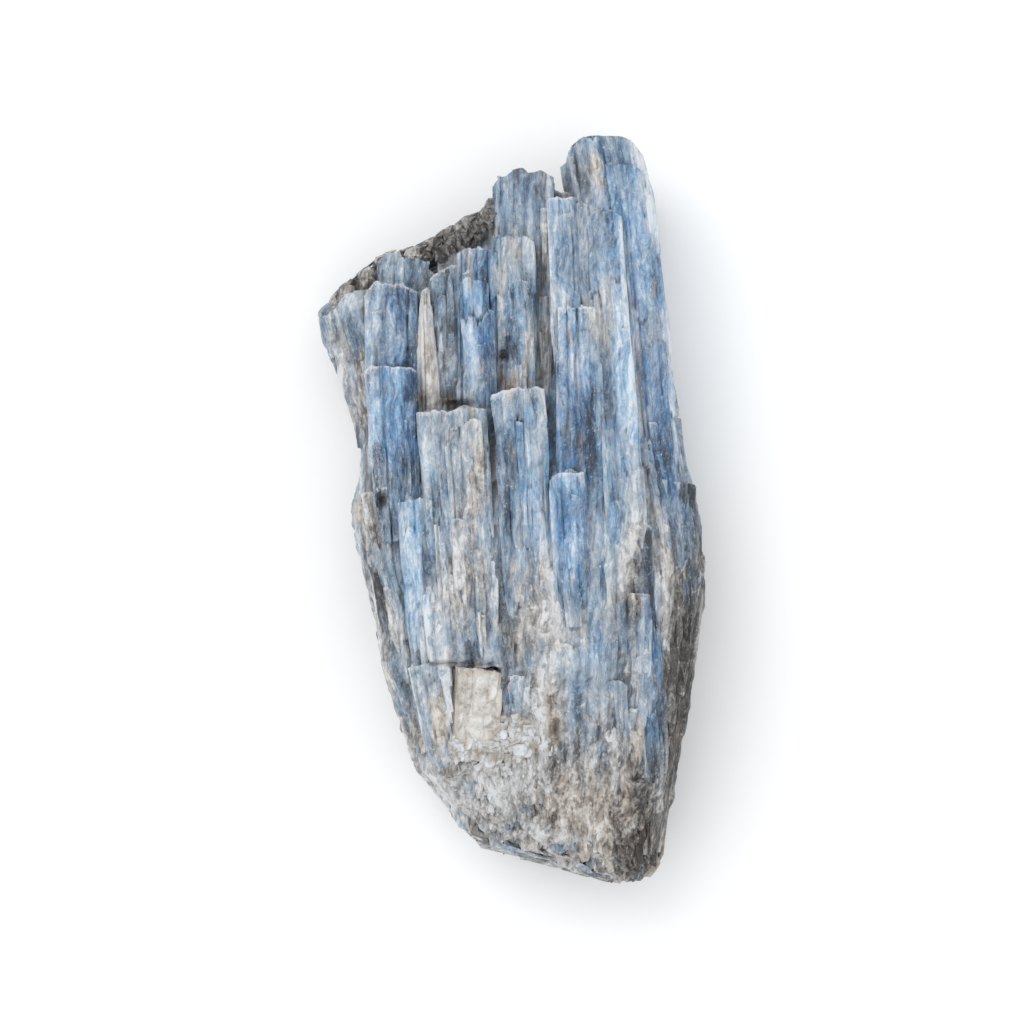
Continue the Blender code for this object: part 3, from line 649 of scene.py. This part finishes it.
# The octagon round a blade and the middles of its two sides, from the left one over the face and back underneath:
# how many half widths and depths each point lies out and down, and how many chamfers are added to each
CORNERS = np.array([
    # half widths, chamfers across, depths, chamfers down
    (-0.94, 0.0, -0.55, 0.0),
    (-1.0, 0.0, 0.0, -1.0),
    (-1.0, 1.0, 0.0, 0.0),
    (1.0, -1.0, 0.0, 0.0),
    (1.0, 0.0, 0.0, -1.0),
    (0.94, 0.0, -0.55, 0.0),
    (0.94, 0.0, -1.0, 1.0),
    (0.94, -1.0, -1.0, 0.0),
    (-0.94, 1.0, -1.0, 0.0),
    (-0.94, 0.0, -1.0, 1.0),
])


def blade(row, seed, pitch=(0.17, 0.42), chamfer=0.30, hidden=2, sinking=2.4):
    """An octagon carried from the foot to the broken top: every ring is the octagon at its share of the length,
    stood out along its normal by laths, and the top end of every lath breaks off at its own length. The foot
    narrows and sinks into the mass. Past both ends the rings shrink to the middle and dip at random, which makes
    the broken end faces. The pitch is the distance between points across and along, and each hidden side, which
    lies in the mass, gets only a few of them."""
    (top_x, top_y, foot_x, foot_y, top_z, foot_z, top_wide, foot_wide, depth, roll, slope,
     base_tone, dull, stain) = row
    foot, top = np.array((foot_x, foot_y, foot_z)), np.array((top_x, top_y, top_z))
    length = np.linalg.norm(top - foot)
    along = (top - foot) / length
    level = np.array((along[1], -along[0], 0)) / np.hypot(along[0], along[1])
    turn = np.radians(roll)
    across = level * np.cos(turn) - np.cross(level, along) * np.sin(turn)
    out = np.cross(across, along)

    # Stations round the octagon, close together on the face and its edges
    wide = max(top_wide, foot_wide)
    edges = (0.5 * depth, chamfer, wide, chamfer, 0.5 * depth)
    counts = [max(2, int(edge / pitch[0])) for edge in edges] + [hidden] * 5
    at = np.concatenate([number + np.arange(count) / count for number, count in enumerate(counts)])
    closed = np.concatenate([CORNERS, CORNERS[:1]])
    half, cut, down, cut_down = (np.interp(at, np.arange(len(closed)), closed[:, column]) for column in range(4))

    # Stations along the blade, closer over the last bit of the broken top, and the rings that close both ends
    last_bit = 0.9 / length
    run = np.linspace(0, 1 - last_bit, max(12, int(length / pitch[1])))
    run = np.concatenate([run, 1 - last_bit * np.linspace(0.75, 0, 5)])
    rings_in = np.array([0.93, 0.72, 0.42, 0.14])
    share = np.concatenate([np.zeros(3), run, np.ones(4)])[:, None]
    shrink = np.concatenate([rings_in[-2::-1], np.ones(len(run)), rings_in])[:, None]

    # The octagon's width u and depth w at every share of the length
    to_foot = np.clip(1 - share * length / 7.0, 0, 1) ** 2
    width = (foot_wide + (top_wide - foot_wide) * share) * (1 - 0.3 * to_foot)
    trim = np.minimum(chamfer, width / 4)
    u = half * width / 2 + cut * trim
    w = down * depth + cut_down * trim
    shift = 13.7 * dice(seed)
    edge = np.clip(np.abs(2 * u / width), 0, 1) ** 6

    # How far every lath reaches before it breaks off: two widths of lath, a slow wave and worn corners
    ragged = (0.35 * dice(np.floor(u / 1.5 + 40 + shift), seed) + 0.2 * dice(np.floor(u / 0.6 + 90), seed + 1)
              + 0.8 * (0.5 + rough(u / 2.6 + shift, 0 * u, seed + 2))
              + (0.06 + 0.12 * dice(seed, 7)) * width * np.abs(2 * u / width) ** 3)
    reach = length - slope * u - ragged * np.clip(share * 1.4 - 0.4, 0, 1)

    # The relief, out along the normal of the face and sides, on a face that is bowed and crowned
    relief, tone, shade, lip = laths(u + shift + 0.6 * w, share * reach + shift * 3, seed * 3.1)
    girth = pitch[0] * np.arange(len(at)) + shift
    stand = relief + 0.16 * rough(girth, share * length / 5.0, seed + 6)
    out_u, out_w = np.sign(half) * (np.abs(half) > 0.93) * (cut == 0), (down > -0.02) * 1.0
    size = np.maximum(np.hypot(out_u, out_w), 1)
    bow = 0.35 * rough(share * length / 17 + shift, 0 * share, seed + 4)
    crowned = 0.035 * width * half**2 * (down > -0.5)
    middle = -depth * 0.42
    u = bow + (u + stand * out_u / size) * shrink
    w = middle + (w + stand * out_w / size + 0.5 * bow - crowned - middle) * shrink - sinking * to_foot
    broken = 1 - shrink
    dip = np.clip(broken * 5, 0, 1) * (0.25 + 1.3 * rough(u / 1.3 + shift, w / 1.3, seed + 8)) + 0.3 * broken
    far = share * reach - np.where(share > 0.5, dip, -dip)
    points = foot + along * far[..., None] + across * u[..., None] + out * w[..., None]
    x, y, z = points[..., 0], points[..., 1], points[..., 2]
    near_top = np.exp(-np.clip(reach - far, 0, None) / 0.35) * (share > 0.5)
    more_dull, more_stain, more_tone = patches(x, y)
    looks = {
        "tone": 0.13 + 0.8 * base_tone + tone * 0.8 + more_tone
        + 0.40 * rough(u / 2.2 + shift, share * length / 6.0, seed + 9) + 0.10 * edge,
        "shade": np.clip(shade * (1 - broken), 0, 1),
        # Paler near the broken top and on the end faces: partly a bruise, partly a painted highlight
        "lip": np.clip(0.8 * lip + 0.85 * dice(seed, 21) * near_top * (1 - broken) + 0.15 * broken, 0, 1),
        "dull": dull * (0.7 + 0.6 * drift(u / 1.7, share * length / 6, seed + 12)) + dullness(x, y, z) * 0.8
        + 0.35 * broken + more_dull,
        "stain": np.clip(stain + stained(x, y, z, 33) * 0.8 + more_stain, 0, 1),
    }
    return shell(points, looks)


for group, rows in FACE_BLADES.items():
    STONE[group] = [blade(row, 1.7 * number + len(group)) for number, row in enumerate(rows)]

# The side and end blades: more of the same crystals, lying edge on along both flanks, and stacked in rows whose
# broken ends make the stepped upper end and the foot. They were split off roughly where the stone came loose.


def outline_at(y, z):
    """The middle and half width of the mass at a height: its superellipse, read sideways."""
    left, right, crown, under = mass_at(y)
    widest = WIDEST_AT * crown
    share = min(abs(z - widest) / (crown - widest if z > widest else widest - under), 0.98)
    return (left + right) / 2, (right - left) / 2 * bulge(share)


def within(skin):
    """Draws in the corners that stand outside the mass: past its superellipse, only a fifth of the way is left."""
    points, y = skin[0], skin[0][:, 1]
    left, right, crown, under = mass_at(y)
    widest, middle = WIDEST_AT * crown, (left + right) / 2
    high = np.minimum(points[:, 2], 0.85 * crown)
    share = np.abs(high - widest) / np.where(high > widest, crown - widest, widest - under)
    half = (right - left) / 2 * bulge(np.clip(share, 0, 0.97))
    aside = points[:, 0] - middle
    past = np.clip(np.abs(aside) - half, 0, 9)
    points[:, 0] = middle + np.sign(aside) * np.minimum(np.abs(aside), half + 0.2 * past)
    return skin


def flank_rows():
    """Two or three blades to a row, four rows to a side, their outer edges on the outline."""
    chance = np.random.default_rng(8)
    wide, thick, dull, stain = 7.0, 3.3, 0.25, 0.1
    rows = []
    for side in (-1, 1):
        for level in (3.4, 6.7, 10.0, 13.2):
            y = -33.0 + chance.uniform(0, 4)
            while y < 14:
                end = min(y + chance.uniform(15, 27), 25.0)
                ends = []
                for at in (end, y):
                    middle, half = outline_at(at, level - thick / 2)
                    ends.append(middle + side * (half + chance.uniform(-0.6, 0.3) - wide / 2))
                face, depth = level + chance.uniform(-0.3, 0.3), thick + chance.uniform(-0.2, 0.6)
                roll, slope = side * chance.uniform(-6, 10), side * chance.uniform(-0.22, 0.22)
                tone = 0.28 + 0.3 * dice(len(rows), 5)
                rows.append((ends[0], end, ends[1], y, face, level, wide, wide, depth, roll, slope,
                             tone, dull, stain))
                y = end + chance.uniform(-1.5, 1.0)
    return rows


def end_rows(outline, levels, inwards, seed, dull):
    """Rows of short blades that reach the outline with their broken ends, the middle row furthest out."""
    chance = np.random.default_rng(seed)
    long, thick, stain = 17, 3.8, 0.15
    xs, ys = np.array(outline).T
    rows = []
    for number, level in enumerate(levels):
        x = xs[0] + chance.uniform(0.5, 2.0)
        while x < xs[-1]:
            width = chance.uniform(4.2, 6.6)
            middle = min(x + width / 2, xs[-1] - 1.0)
            setback = chance.uniform(-0.4, 1.2) + 1.1 * abs(number - 1)
            outer = np.interp(middle, xs, ys) + inwards * setback
            foot, top = sorted((outer, outer + inwards * long))
            tilt = chance.uniform(-0.5, 0.5)
            roll, slope = chance.uniform(-9, 9), chance.uniform(-0.22, 0.22)
            tone = 0.28 + 0.25 * dice(len(rows), 9)
            rows.append((middle + tilt, top, middle - tilt, foot, level, level, width, width, thick, roll, slope,
                         tone, dull, stain))
            x += width - 0.5
    return rows


# The line that the broken ends reach at the upper end and at the foot, as x and y from left to right
REAR = ((-20.0, 22.4), (-16.0, 25.2), (-12.0, 27.6), (-8.0, 29.2), (-4.0, 31.4), (0.0, 35.0), (5.0, 35.0),
        (7.0, 38.0), (12.5, 38.0))
FOOT = ((-8.0, -30.2), (-5.0, -34.0), (0.0, -36.2), (6.0, -37.8), (11.7, -40.0), (15.6, -37.8))
STONE["side_blades"] = [
    within(blade(row, 2.3 * number + 50, pitch=(0.32, 0.75), chamfer=0.5, hidden=6, sinking=0.6))
    for number, row in enumerate(flank_rows())
]
STONE["rear_ends"] = [
    blade(row, 1.9 * number + 90, pitch=(0.33, 0.66), chamfer=0.5, hidden=6, sinking=0.0)
    for number, row in enumerate(end_rows(REAR, (5.2, 8.6, 11.8), inwards=-1, seed=9, dull=0.35))
]
STONE["foot_ends"] = [
    within(blade(row, 2.1 * number + 130, pitch=(0.31, 0.62), chamfer=0.5, hidden=6, sinking=0.0))
    for number, row in enumerate(end_rows(FOOT, (3.6, 7.4, 10.8), inwards=1, seed=10, dull=0.9))
]

# The slivers: thin laths split off the broad faces, most of them a millimetre or two wide, that still cling there
# and give each face its grain.


def slivers():
    """Thin blades laid on the broad ones: at a random place on a random face, along it, a little proud of it."""
    chance = np.random.default_rng(21)
    how_many, thick = 90, 1.2
    broad = [row for rows in FACE_BLADES.values() for row in rows if row[6] > 2.9 and row[1] > -14]
    rows = []
    for _ in range(how_many):
        (top_x, top_y, foot_x, foot_y, top_z, foot_z, top_wide, foot_wide, _, roll, slope,
         tone, dull, stain) = broad[chance.integers(len(broad))]
        wide = chance.uniform(0.6, 1.7)
        aside = chance.uniform(-0.5, 0.5) * (min(top_wide, foot_wide) - wide - 0.3)
        span = np.hypot(top_x - foot_x, top_y - foot_y)
        high = chance.uniform(0.25, 0.90)
        low = max(high - chance.uniform(5, 16) / span, 0.05)
        proud = chance.uniform(0.02, 0.24) - aside * np.tan(np.radians(roll))
        ends = []
        for share in (high, low):
            ends.append((foot_x + (top_x - foot_x) * share + aside, foot_y + (top_y - foot_y) * share,
                         foot_z + (top_z - foot_z) * share + proud))
        (x1, y1, z1), (x2, y2, z2) = ends
        rows.append((x1, y1, x2, y2, z1, z2, wide, wide * 1.1, thick, roll + chance.uniform(-6, 6), slope,
                     tone + chance.uniform(-0.12, 0.18), dull + chance.uniform(-0.2, 0.3), stain))
    return rows


STONE["slivers"] = [
    blade(row, 3.3 * number + 170, pitch=(0.19, 0.62), chamfer=0.22, hidden=1, sinking=0.7)
    for number, row in enumerate(slivers())
]

# The crumbs: rough dark grains of rock that cling along the broken upper left rim and cover the foot, where the
# blades run out into fine-grained stone.

# The rim from left to right, as x, y and z in millimetres
RIM = np.array([(-18.6, 23.3, 11.6), (-16.3, 24.9, 11.4), (-13.6, 26.9, 10.4), (-10.0, 27.9, 10.6),
                (-7.4, 29.0, 11.8), (-5.4, 30.2, 12.0), (-3.2, 31.3, 12.2), (-2.4, 33.0, 11.6)])


def crumb(centre, size, long, seed, tone, dull, stain):
    """A grain of rock: a ball drawn out along the stone, each of its points pulled in or out at random."""
    rings, around = 6, 11
    up = np.linspace(0.1, 0.9, rings)[:, None] * np.pi
    turn = np.linspace(0, 2 * np.pi, around, endpoint=False)[None, :] + 6 * dice(seed)
    pull = 0.65 + 0.6 * dice(np.arange(rings)[:, None], np.arange(around)[None, :], seed)
    x = centre[0] + size * pull * np.sin(up) * np.cos(turn)
    y = centre[1] + long * size * pull * np.sin(up) * np.sin(turn)
    z = centre[2] - 0.7 * size * pull * np.cos(up)
    flat = 0 * x
    more_dull, more_stain, more_tone = patches(x, y)
    looks = {
        "tone": tone + 0.3 * (pull - 0.95) + more_tone,
        # Painted shade on the lower half of each grain
        "shade": flat + 0.3 * (np.cos(up) > 0),
        "lip": flat,
        "dull": flat + dull + more_dull,
        "stain": np.clip(flat + stain + more_stain, 0, 1),
    }
    return shell(np.stack([x, y, z], axis=-1), looks)


def crumbs():
    """Grains scattered along the rim, and over the foot at the height of the mass under them."""
    chance = np.random.default_rng(31)
    skins = []
    for number in range(110):
        walk = chance.uniform(0, len(RIM) - 1)
        x, y, z = (np.interp(walk, np.arange(len(RIM)), RIM[:, column]) for column in range(3))
        x, y, z = x + chance.normal(0, 0.5), y + chance.normal(-0.5, 0.5), z + chance.uniform(-1.8, 0.2)
        skins.append(crumb((x, y, z), chance.uniform(0.35, 1.1), 1.3, number, chance.uniform(0.1, 0.5), 1.0, 0.4))
    for number in range(300):
        y = chance.triangular(-39.0, -37.0, -20.0)
        left, right, crown, _ = mass_at(y)
        share = chance.uniform(-0.9, 0.9)
        x = (left + right) / 2 + share * (right - left - 1.4) / 2
        crown = crown + swell(y)
        z = WIDEST_AT * crown + (1 - WIDEST_AT) * crown * bulge(abs(share))
        size, brown = 0.3 + 1.0 * chance.uniform(0, 1) ** 2, chance.uniform(0, 1) ** 3
        skins.append(crumb((x, y, z - 0.12 - 0.68 * size), size, chance.uniform(1.0, 2.4), number + 0.5,
                           chance.uniform(0.38, 0.64), chance.uniform(0.35, 1.0), 0.9 * brown))
    return skins


STONE["crumbs"] = crumbs()

# Everything that is stone is trimmed, given painted shade in its hollows and a painted highlight where it stands
# higher, and pitted together, so that no piece stands out from the outline or bridges a pit
for treatment in (trimmed, hollows, pitted):
    treatment([skin for skins in STONE.values() for skin in skins])
for group, skins in STONE.items():
    piece = stone_piece(group, skins)
    piece.data.materials.append(KYANITE)
    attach(piece, "root")
    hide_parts("kyanite_blades")

# The mica book: one pale, pearly crystal of muscovite in the lower face, a stack of cleavage sheets that has been
# split unevenly, so that the left edges step back and thin flakes are left on top. Glassy flakes fill its corner.

# The corners of a sheet as shares of its half width and half length
BOOK_CORNERS = np.array([(-0.96, 0.95), (-0.1, 1.0), (0.97, 0.90), (1.0, -0.40), (0.50, -0.86), (-0.55, -1.0),
                         (-1.0, -0.86)])


def sheet(centre, size, low, high, turn, seed, tilt=(0.0, 0.0), points=84):
    """A thin sheet: its outline runs straight from corner to corner with small nicks, is carried up from the
    underside over the edge to the top, and is closed by rings that shrink to the middle and undulate a little. The
    corners run clockwise, so every ring is turned round to make the faces point outwards."""
    walk = np.linspace(0, len(BOOK_CORNERS), points, endpoint=False)
    closed = np.concatenate([BOOK_CORNERS, BOOK_CORNERS[:1]])
    nick = 1 + 0.09 * rough(walk * 1.9, 0 * walk, seed) + 0.07 * (dice(np.floor(walk * 4), seed) - 0.5)
    outline_u, outline_v = (np.interp(walk, np.arange(len(closed)), closed[:, column]) * nick for column in (0, 1))
    share, up = np.array([(0.15, 0), (0.96, 0), (1, 0.2), (1, 0.8), (0.97, 1), (0.7, 1), (0.4, 1), (0.15, 1)]).T
    share, up = share[:, None], up[:, None]
    u, v = outline_u * share * size[0] / 2, outline_v * share * size[1] / 2
    spin = np.radians(turn)
    x = centre[0] + u * np.cos(spin) - v * np.sin(spin)
    y = centre[1] + u * np.sin(spin) + v * np.cos(spin)
    z = low + (high - low) * up + 0.06 * rough(u / 1.6, v / 1.6, seed + 3) + tilt[0] * u + tilt[1] * v
    flat = 0 * x
    looks = {
        "tone": flat - 0.36 + 0.16 * (dice(seed, 3) - 0.5),
        "shade": flat + 0.5 * (1 - up) * (share > 0.9),
        "lip": flat + (share > 0.94) * (up > 0.5) * 0.6,
        "dull": flat,
        "stain": flat + 0.5 * (share > 0.94),
    }
    return shell(np.stack([x, y, z], axis=-1)[:, ::-1], {name: value[:, ::-1] for name, value in looks.items()})


def book_sheets():
    """Nine broad sheets from the pocket's floor up, dipping with the face towards the foot, each a little further
    right than the one under it, and six split ones left on top, long and narrow: where, how large, how far turned
    and how high over the ninth."""
    middle_x, middle_y = POCKET
    floor, lift, thick, thin = 14.6, 0.30, 0.34, 0.14
    dip = (0.03, 0.08)
    top = 17.12
    skins = []
    for number in range(9):
        low = floor + lift * number
        step = 0.12 * max(number - 3, 0)
        wide = 5.4 - step - 0.10 * dice(number, 1)
        long = 9.1 - 0.05 * number - 0.3 * dice(number, 2)
        centre = (middle_x + step * 0.5 + 0.06 * (dice(number, 4) - 0.5), middle_y + 0.2 * (dice(number, 5) - 0.3))
        turn = -3 + 2 * (dice(number, 6) - 0.5)
        skins.append(sheet(centre, (wide, long), low, low + thick, turn, number + 0.5, dip))
    for number, (x, y, wide, long, turn, over) in enumerate((
        (-3.4, -20.6, 4.4, 8.4, -3, 0.0), (-5.2, -19.8, 0.55, 6.4, -5, 0.13), (-4.5, -19.0, 0.5, 5.0, -4, 0.18),
        (-2.9, -19.0, 2.4, 5.0, -2, 0.12), (-2.0, -18.3, 1.1, 3.4, -6, 0.22), (-3.9, -22.9, 2.2, 3.2, 6, 0.12),
    )):
        low = top + dip[1] * (y - middle_y) + dip[0] * (x - middle_x) + over
        skins.append(sheet((x, y), (wide, long), low, low + thin, turn, number + 20.5, dip))
    return skins


def book_flakes():
    """Small glassy flakes at all tilts: a loose heap at the book's lower right corner, at the height of the stone
    there, which falls towards the foot, and more of them over the book's lower edge, which falls more steeply."""
    skins = []
    heaped, in_all, thin = 150, 210, 0.14
    for number in range(in_all):
        if number < heaped:
            along, spin = dice(number, 11) ** 0.5, 2 * np.pi * dice(number, 12)
            x = 0.1 + 2.6 * along * np.cos(spin) - 1.3 * (dice(number, 13) > 0.7)
            y = -23.8 + 2.4 * along * np.sin(spin) - 1.7 * (dice(number, 13) > 0.7)
            low = 16.50 + 0.24 * (y + 23.5) + 0.30 * dice(number, 19)
        else:
            x, y = -6.7 + 5.0 * dice(number, 11), -24.2 - 2.0 * dice(number, 12)
            low = 16.90 + 0.34 * (y + 24.0) + 0.20 * dice(number, 19)
        size = (0.4 + 1.2 * dice(number, 14) ** 2, 0.6 + 1.6 * dice(number, 15) ** 2)
        tilt = (0.50 * (dice(number, 16) - 0.5), 0.24 + 0.50 * (dice(number, 17) - 0.5))
        flake = sheet((x, y), size, low, low + thin, 50 * (dice(number, 18) - 0.5), number + 0.25, tilt, points=14)
        flake[3]["tone"] += 0.25 * (dice(number, 20) - 0.5)
        skins.append(flake)
    return skins


def mica(name, sheen, pale):
    """Mica: pearly cream, a little browner at the sheets' edges, with a faint mottling, small brown specks and a
    soft sheen. The flakes are paler, bluer and glassy."""
    pearl = Finish(name, 1.58)
    pearl.shader["Roughness"].default_value = sheen
    pearl.shader["Coat Weight"].default_value = 0.3
    mottle = pearl.noise((650, 650, 650), 6, 0.7, 0.6)
    middle = tuple(0.77 * np.array(pale) - (0.0, 0.008, 0.022))
    colour = pearl.ramp(pearl.add_up(pearl.look("tone"), (mottle, 1.8)), (
        (0.30, (0.30, 0.27, 0.23)),
        (0.52, middle),
        (0.78, pale),
    ))
    specks = pearl.spread(pearl.noise((2600, 2600, 2600), 3, 0.5), 0.60, 0.72)
    browned = pearl.step("Math", "Value", {0: pearl.look("stain"), 1: specks}, operation="MAXIMUM")
    return pearl.done(pearl.mix(browned, colour, (0.34, 0.27, 0.20)), mottle)


BOOK = (
    ("mica_sheets", book_sheets(), mica("mica", 0.28, (0.66, 0.65, 0.63))),
    ("mica_flakes", book_flakes(), mica("glassy_mica", 0.14, (0.64, 0.67, 0.70))),
)
for name, skins, finish in BOOK:
    leaves = stone_piece(name, skins)
    leaves.data.materials.append(finish)
    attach(leaves, "root")
    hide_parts("mica_book")

# The studio: a plain white floor, a soft window of light from the upper left, and a camera that looks straight
# down on the stone as it lies on its back.

bpy.ops.mesh.primitive_plane_add(size=8)
floor = bpy.context.object
floor.name = "floor"
paper = bpy.data.materials.new("paper")
paper.use_nodes = True
matt = paper.node_tree.nodes["Principled BSDF"].inputs
matt["Base Color"].default_value = (0.93, 0.93, 0.93, 1)
matt["Roughness"].default_value = 0.9
matt["Specular IOR Level"].default_value = 0.1
floor.data.materials.append(paper)

world = bpy.data.worlds.new("studio")
world.use_nodes = True
sky = world.node_tree.nodes["Background"].inputs
sky["Color"].default_value = (0.97, 0.985, 1.0, 1)
sky["Strength"].default_value = 1.08
bpy.context.scene.world = world


def softbox(name, place, aim, size, power):
    """A square lamp at a place, turned to face its aim."""
    lamp = bpy.data.lights.new(name, "AREA")
    lamp.size = size
    lamp.energy = power
    light = bpy.data.objects.new(name, lamp)
    light.location = place
    heading = np.array(aim, float) - np.array(place, float)
    flat = np.hypot(heading[0], heading[1])
    light.rotation_euler = (np.arctan2(flat, -heading[2]), 0, np.arctan2(heading[1], heading[0]) - np.pi / 2)
    bpy.context.scene.collection.objects.link(light)


softbox("window", (-0.5, 0.6, 0.8), (0, 0, 0.01), 0.7, 3.8)

view = bpy.data.cameras.new("camera")
view.lens = 115
view.sensor_width = 36
camera = bpy.data.objects.new("camera", view)
camera.location = (0.0, 0.0, 0.36)
bpy.context.scene.collection.objects.link(camera)
bpy.context.scene.camera = camera
bpy.context.scene.view_settings.view_transform = "Standard"
